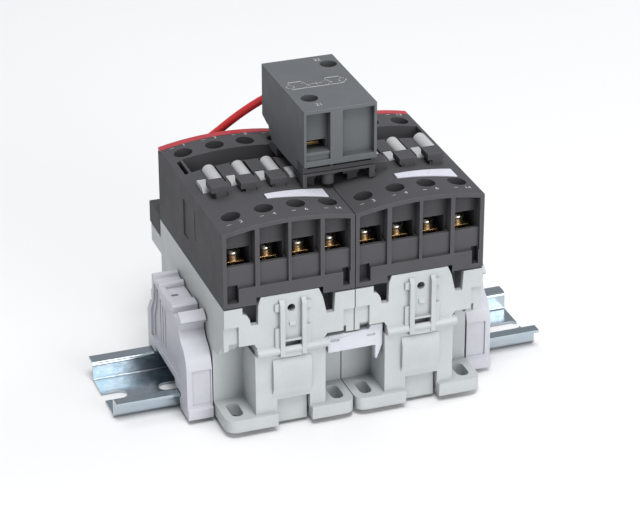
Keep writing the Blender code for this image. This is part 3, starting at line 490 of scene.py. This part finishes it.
def build_power_terminals():
    """Screw, saddle clamp, serrated contact and silver tip of each pole, in place of each plain terminal."""
    shank_end = TERMINAL_STRIP_Z[0] + 0.4
    screws = screw_mesh("terminal_screw", head_z=61.9, head_r=2.85, shank_r=1.6, shank_end=shank_end)
    for row, screw_y, sign in (("load", LOAD_SCREW_Y, -1), ("line", LINE_SCREW_Y, 1)):
        strips, saddles, tips = strip_mesh(sign), saddle_mesh(sign), tip_mesh()
        for side, left in SIDES.items():
            for number, pole in enumerate(POLES, 1):
                node = [f"{row}_terminal_{side}_{number}"]
                tag = f"{row}_{side}_{number}"
                place = (left + pole, screw_y + ROW_Y, 0)
                tip_place = (left + pole, MECH_Y + sign * CONTACT_SPREAD + ROW_Y, 0)
                # Each screw is tightened to its own angle
                turn = (number * 37 + (11 if side == "left" else 64) + (20 if row == "load" else 0)) % 90
                piece(f"contact_strip_{tag}", strips, BRASS, FIXED, node, place, bevel=0.08)
                piece(f"saddle_clamp_{tag}", saddles, BRASS, FIXED, node, place, bevel=0.12)
                piece(f"terminal_screw_{tag}", screws, SCREW, FIXED, node, place, turn, 0.07)
                piece(f"contact_tip_{tag}", tips, SILVER, FIXED, node, tip_place)


def build_block_terminals():
    """The two terminals inside the interlock block."""
    screws = screw_mesh("block_screw", head_z=92.75, head_r=2.5, shank_r=1.35, shank_end=89.3)

    def clamp(shape):
        side = [(-3.0, 90.7), (-2.4, 90.7), (-1.9, 91.7), (1.7, 91.7), (2.1, 90.7), (2.6, 90.7),
                (2.6, 91.3), (2.1, 92.3), (-2.3, 92.3), (-3.0, 91.3)]
        prism(shape, side, (-3.1, 3.1), "Y")

    def strip(shape):
        block(shape, (-2.8, 2.4), (-3.2, 3.2), (88.9, 89.9))
        for k in range(3):
            y = -2.35 + 0.7 * k
            prism(shape, [(y - 0.25, 89.85), (y + 0.25, 89.85), (y, 90.1)], (-2.5, 2.1), "X")

    hole = mesh_of("hole", lambda shape: lathe(shape, [(0, 90), (1.55, 90), (1.55, 94), (0, 94)]))
    clamps = carve(mesh_of("block_clamp", clamp), hole)
    strips = mesh_of("block_strip", strip)
    for end, (x, y) in BLOCK_SCREWS.items():
        node, place = f"interlock_terminal_{end}", (x, y + ROW_Y, 0)
        piece(f"block_strip_{end}", strips, BRASS, FIXED, [node], place, bevel=0.08)
        piece(f"block_clamp_{end}", clamps, BRASS, FIXED, [node], place, bevel=0.1)
        piece(f"block_screw_{end}", screws, SCREW, FIXED, [node], place, 25, bevel=0.06)


# ------------------------------------------------------------------ coil, rail and wire


def build_coil_screws():
    """Plated heads and threads on the screws of the coil terminals."""
    top, recess = COIL_SCREW_TOP_Z, (COIL_SCREW_TOP_Z - 0.24, COIL_SCREW_TOP_Z + 0.55)
    under = top - 2.85

    def head(shape):
        lathe(shape, [(0, under), (2.0, under), (2.25, under + 0.2), (2.25, top - 0.75), (2.1, top - 0.3),
                      (1.7, top - 0.03), (0, top)])

    def thread(shape):
        profile = [(0, under - 2.8), (1.3, under - 2.8)]
        for k in range(4):
            profile += [(1.45, under - 2.6 + 0.65 * k), (1.6, under - 2.3 + 0.65 * k)]
        lathe(shape, [*profile, (1.5, under + 0.1), (0, under + 0.1)])

    drive = mesh_of("slot", lambda shape: block(shape, (-0.4, 0.4), (-3, 3), recess))
    cross = mesh_of("cross", lambda shape: block(shape, (-1.3, 1.3), (-0.4, 0.4), recess))
    heads = carve(mesh_of("coil_screw_head", head), drive, cross)
    threads = mesh_of("coil_screw_thread", thread)
    for side, left in SIDES.items():
        for number, x in enumerate(COIL_POLES, 1):
            place = (left + x, COIL_SCREW_Y + ROW_Y, 0)
            piece(f"coil_screw_{side}_{number}", heads, SCREW, FIXED, (), place, bevel=0.06)
            piece(f"coil_thread_{side}_{number}", threads, SCREW, FIXED, (), place)


def build_coils():
    """Bobbin with two flanges, and the winding with its outer tape, in place of each plain coil."""
    def around(half_x, half_y, radius):
        x, y = MODULE_W / 2, MECH_Y
        return rounded_rectangle((x - half_x, x + half_x), (y - half_y, y + half_y), radius)

    inside = around(8.8, 5.6, 0.6)

    def bobbin(shape):
        flange, tube = around(14, 11.8, 1.6), around(9.8, 6.6, 0.9)
        for outline, span in ((flange, (17.6, 19.2)), (tube, (19.1, 33.7)), (flange, (33.6, 35.2))):
            ring(shape, outline, inside, span)

    def winding(shape):
        tube, wound, taped = around(9.6, 6.4, 0.9), around(12.6, 10.4, 2.6), around(12.8, 10.6, 2.7)
        for outline, span in ((wound, (19.4, 21.4)), (taped, (21.3, 31.5)), (wound, (31.4, 33.4))):
            ring(shape, outline, tube, span)

    bobbins, windings = mesh_of("bobbin", bobbin), mesh_of("winding", winding)
    for side, left in SIDES.items():
        place = (left, ROW_Y, 0)
        piece(f"bobbin_{side}", bobbins, BLACK, FIXED, [f"coil_{side}"], place, bevel=0.15)
        piece(f"winding_{side}", windings, WINDING, FIXED, [f"coil_{side}"], place, bevel=0.15)


def build_rail():
    """The top-hat rail with smoothly rounded bends and round-ended slots."""
    inner = 0.5
    outer = inner + RAIL_SHEET
    web_y, bend_y = RAIL_WALL_Y - outer, RAIL_WALL_Y + inner
    flange_z = RAIL_DEPTH - RAIL_SHEET
    under = [(web_y, 0), *arc((web_y, outer), outer, -90, 0, 10)[1:]]
    under += [*arc((bend_y, flange_z - inner), inner, 180, 90, 8), (RAIL_HALF_WIDTH, flange_z)]
    above = [(RAIL_HALF_WIDTH, RAIL_DEPTH), *arc((bend_y, flange_z - inner), outer, 90, 180, 10)]
    above += arc((web_y, outer), inner, 0, -90, 8)
    half = under + above
    outline = half + [(-y, z) for y, z in reversed(half)]
    body = mesh_of("rail", lambda shape: prism(shape, outline, (-RAIL_LENGTH / 2, RAIL_LENGTH / 2), "X"))

    def slots(shape):
        length, width = RAIL_SLOT
        end = length / 2 - width / 2
        for number in range(5):
            x = RAIL_FIRST_SLOT_X + RAIL_SLOT_PITCH * number
            round_ends = arc((x + end, 0), width / 2, -90, 90, 20) + arc((x - end, 0), width / 2, 90, 270, 20)
            prism(shape, round_ends, (-2, 3))

    made = carve(body, mesh_of("slots", slots))
    piece("rail", made, ZINC, FIXED, ["din_rail"], (0, ROW_Y, 0), bevel=0.1, angle=40)


def smooth_route(points, steps):
    """Points along a smooth curve through the route's own points."""
    route = [Vector(point) for point in points]
    route = [2 * route[0] - route[1], *route, 2 * route[-1] - route[-2]]
    path = []
    for a, b, c, d in zip(route, route[1:], route[2:], route[3:]):
        for k in range(steps):
            t = k / steps
            path.append(0.5 * (2 * b + (c - a) * t + (2 * a - 5 * b + 4 * c - d) * t**2
                               + (3 * b - a - 3 * c + d) * t**3))
    return [*path, route[-2]]


def tube_mesh(name, path, radius, sides=24):
    """A round tube along a path, in millimetres."""
    def build(shape):
        rings = []
        side = Vector((1, 0, 0))
        for number, point in enumerate(path):
            ahead = path[min(number + 1, len(path) - 1)] - path[max(number - 1, 0)]
            ahead.normalize()
            side = (side - side.dot(ahead) * ahead).normalized()
            other = ahead.cross(side)
            turns = [2 * math.pi * k / sides for k in range(sides)]
            rings.append([shape.verts.new(point + radius * (math.cos(t) * side + math.sin(t) * other))
                          for t in turns])
        for lower, upper in zip(rings, rings[1:]):
            for k in range(sides):
                following = (k + 1) % sides
                shape.faces.new((lower[k], lower[following], upper[following], upper[k]))
        for end in (rings[0], rings[-1]):
            shape.faces.new(end)

    return mesh_of(name, build)


def build_wire():
    """The wire link and the crimped ferrule on its lower end."""
    node, place = ["jumper_wire"], (0, ROW_Y, 0)
    link = tube_mesh("wire_link", smooth_route(WIRE_ROUTE, 9), WIRE_R)
    piece("wire_link", link, WIRE, FIXED, node, place, bevel=0.1, angle=50)
    x, y, z = WIRE_ROUTE[0]

    def ferrule(shape):
        block(shape, (x - 0.75, x + 0.75), (y - 3.1, y + 0.3), (z - 0.55, z + 0.55))
        for k in range(3):
            block(shape, (x - 0.85, x + 0.85), (y - 2.7 + k, y - 2.3 + k), (z - 0.65, z + 0.65))

    made = mesh_of("wire_ferrule", ferrule)
    piece("wire_ferrule", made, SCREW, FIXED, node, place, bevel=0.12)


def build_return_springs():
    """The springs under the carriers, which in the real contactor shorten as the carriers go down; here each
    is one fixed mesh.
    """
    low, high = SPRING_Z
    wire, radius, turns, steps = 0.5, 10.6, 2.5, 40
    count = int(turns * steps)
    path = []
    for k in range(count + 1):
        turn = 2 * math.pi * k / steps
        # The coil ends lie flat over this share of the length at each end
        flat = 0.12
        rise = min(1.0, max(0.0, (k / count - flat) / (1 - 2 * flat)))
        z = low + wire + (high - low - 2 * wire) * rise
        path.append(Vector((MODULE_W / 2 + radius * math.cos(turn), MECH_Y + radius * math.sin(turn), z)))
    coil = tube_mesh("return_coil", path, wire - 0.02, 10)
    for side, left in SIDES.items():
        made = piece(f"return_coil_{side}", coil, SCREW, FIXED, [f"return_spring_{side}"],
                     (left, ROW_Y, 0))
        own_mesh(made)


# ------------------------------------------------------------------ print


PRINT_THICK = 0.05
TICK = (2.9, 1.7)
TICK_WIDTH = 0.28


def flat_text(words, size):
    """Outlined characters as a mesh in millimetres, centred on the origin."""
    curve = bpy.data.curves.new("print", "FONT")
    curve.body, curve.size, curve.resolution_u = words, size, 3
    curve.align_x, curve.align_y, curve.extrude = "CENTER", "CENTER", PRINT_THICK / 2
    text = bpy.data.objects.new("print", curve)
    bpy.context.scene.collection.objects.link(text)
    mesh = bpy.data.meshes.new_from_object(text.evaluated_get(bpy.context.evaluated_depsgraph_get()))
    bpy.data.objects.remove(text)
    bpy.data.curves.remove(curve)
    return mesh


def stroke(points, width):
    """The outline of a straight stroke between two points."""
    start, end = (Vector(point) for point in points)
    along = (end - start).normalized() * (width / 2)
    across = Vector((-along.y, along.x))
    return [tuple(start - along - across), tuple(end + along - across), tuple(end + along + across),
            tuple(start - along + across)]


def build_crown_print():
    """Terminal numbers beside the screw holes, laid on each contactor's crowned face."""
    rows = (("load", LOAD_SCREW_Y, -5.1, ("2", "4", "6", "14")),
            ("line", LINE_SCREW_Y, 5.3, ("1", "3", "5", "13")))
    for side, left in SIDES.items():
        for row, screw_y, step, numbers in rows:
            for pole, words in zip(POLES, numbers):
                mesh = flat_text(words, 2.3)
                middle_x, middle_y = pole + 1.9, screw_y + step
                for corner in mesh.vertices:
                    x, y = middle_x + corner.co.x, middle_y + corner.co.y
                    corner.co = (x * MM, (y + ROW_Y) * MM, (arch_z(x) + corner.co.z) * MM)
                piece(f"number_{row}_{side}_{words}", mesh, INK, FIXED, place=(left, 0, 0))
                # Short tick that points at the hole
                tick = stroke(((pole - TICK[0], middle_y), (pole - TICK[1], middle_y)), TICK_WIDTH)
                mesh = mesh_of("tick", lambda shape: prism(shape, tick, (-PRINT_THICK / 2, PRINT_THICK / 2)))
                for corner in mesh.vertices:
                    corner.co.y += ROW_Y * MM
                    corner.co.z += arch_z(corner.co.x / MM) * MM
                piece(f"tick_{row}_{side}_{words}", mesh, INK, FIXED, place=(left, 0, 0))


def build_block_print():
    """A contact diagram on the interlock block's top, and its terminal numbers."""
    low, high, top = -1.4, 4.2, BLOCK_TOP_Z

    def box(x):
        """The terminal symbol, a square with its lower left corner at x."""
        y = low + 1.2
        corners = ((x, y), (x + 2.4, y), (x + 2.4, y + 2.4), (x, y + 2.4))
        return list(zip(corners, corners[1:] + corners[:1]))

    def contact(x):
        """A break contact: its two leads, its stop and its slanting blade."""
        hinge = (x, low + 3.9)
        return [((x, low), (x, low + 1.3)), (hinge, (x, high)), (hinge, (x + 1.3, low + 1.5)),
                ((x - 1, low + 3.9), (x + 0.6, low + 3.9))]

    def leads(x):
        """The lines that lead out of a terminal symbol, at its middle."""
        return [((x, low), (x, low + 1.2)), ((x, low + 3.6), (x, high))]

    lines = [
        *box(-9.6), *leads(-8.4), *contact(-3.2), *box(8.6), *leads(9.8), *contact(4.6),
        ((-8.4, low), (9.8, low)), ((-8.4, high), (-3.2, high)), ((4.6, high), (9.8, high)),
        ((-1.2, low + 2.6), (0.4, low + 2.6)), ((1.2, low + 2.6), (2.8, low + 2.6)),
        ((0.8, low + 1.6), (0.8, low + 3.6)),
    ]

    def diagram(shape):
        for line in lines:
            prism(shape, stroke(line, 0.3), (top - 0.02, top + 0.02))

    mesh = mesh_of("block_diagram", diagram)
    piece("block_diagram", mesh, INK, FIXED, place=(0, ROW_Y, 0))
    for words, x, y in (("21", -4.2, -15.6), ("22", 7.6, 19.6)):
        mesh = flat_text(words, 2.4)
        for corner in mesh.vertices:
            corner.co = Vector((corner.co.x + x, corner.co.y + y + ROW_Y, top + corner.co.z * 0.8)) * MM
        piece(f"block_number_{words}", mesh, INK, FIXED)


# ------------------------------------------------------------------ stage


# Azimuth, elevation and roll in degrees, and the place in the camera's own right, up and back directions
CAMERA_ANGLES = (-19.64, 26.98, -0.11)
CAMERA_OFFSET = (1.39, 36.59, 898.62)
CAMERA_LENS = 146.33


def build_stage():
    """The pale floor, the even sky and four soft lamps, placed in metres and powered in watts."""
    size = 4.0
    floor = bpy.data.meshes.new("floor")
    shape = bmesh.new()
    bmesh.ops.create_grid(shape, x_segments=1, y_segments=1, size=size)
    shape.to_mesh(floor)
    shape.free()
    ground = bpy.data.objects.new("floor", floor)
    bpy.context.scene.collection.objects.link(ground)
    look = Look("pale_floor", 0.6)
    colour = look.mix(look.noise(3, 2), (0.83, 0.83, 0.83, 1), (0.86, 0.86, 0.86, 1))
    look.set(look.shader, {"Base Color": colour})
    floor.materials.append(look.material)

    world = bpy.data.worlds.new("studio")
    world.use_nodes = True
    backdrop = world.node_tree.nodes["Background"]
    backdrop.inputs["Color"].default_value = (0.93, 0.95, 1.0, 1)
    backdrop.inputs["Strength"].default_value = 0.42
    bpy.context.scene.world = world
    bpy.context.scene.view_settings.view_transform = "Standard"

    centre = Vector((0, 0, 0.05))
    lamps = (
        ("key_light", (-0.1, -0.6, 1.5), 17, 0.7),
        ("front_light", (0.45, -1.3, 0.42), 9, 0.8),
        ("side_light", (1.2, 0.3, 0.8), 4, 0.8),
        ("back_light", (-0.5, 0.9, 1.5), 4.5, 0.9),
    )
    for name, place, power, width in lamps:
        lamp = bpy.data.lights.new(name, "AREA")
        lamp.energy = power
        lamp.shape = "SQUARE"
        lamp.size = width
        light = bpy.data.objects.new(name, lamp)
        light.location = place
        light.rotation_euler = (centre - Vector(place)).to_track_quat("-Z", "Y").to_euler()
        bpy.context.scene.collection.objects.link(light)


def build_camera():
    """The view from the front left, above."""
    azimuth, elevation, roll = (math.radians(angle) for angle in CAMERA_ANGLES)
    back = Vector((math.sin(azimuth) * math.cos(elevation), -math.cos(azimuth) * math.cos(elevation),
                   math.sin(elevation)))
    right = Vector((math.cos(azimuth), math.sin(azimuth), 0))
    up = back.cross(right)
    turn = Matrix((right, up, back)).transposed() @ Matrix.Rotation(roll, 3, "Z")
    lens = bpy.data.cameras.new("camera")
    lens.sensor_width = 36
    lens.lens = CAMERA_LENS
    lens.clip_start = 0.05
    camera = bpy.data.objects.new("camera", lens)
    stand = turn @ Vector(CAMERA_OFFSET) + Vector((0, ROW_Y, 0))
    camera.matrix_world = Matrix.Translation(stand * MM) @ turn.to_4x4()
    bpy.context.scene.collection.objects.link(camera)
    bpy.context.scene.camera = camera


build_camera()
build_stage()
finish_cad_nodes()
build_power_terminals()
build_block_terminals()
build_coil_screws()
build_coils()
build_rail()
build_wire()
build_return_springs()
build_crown_print()
build_block_print()
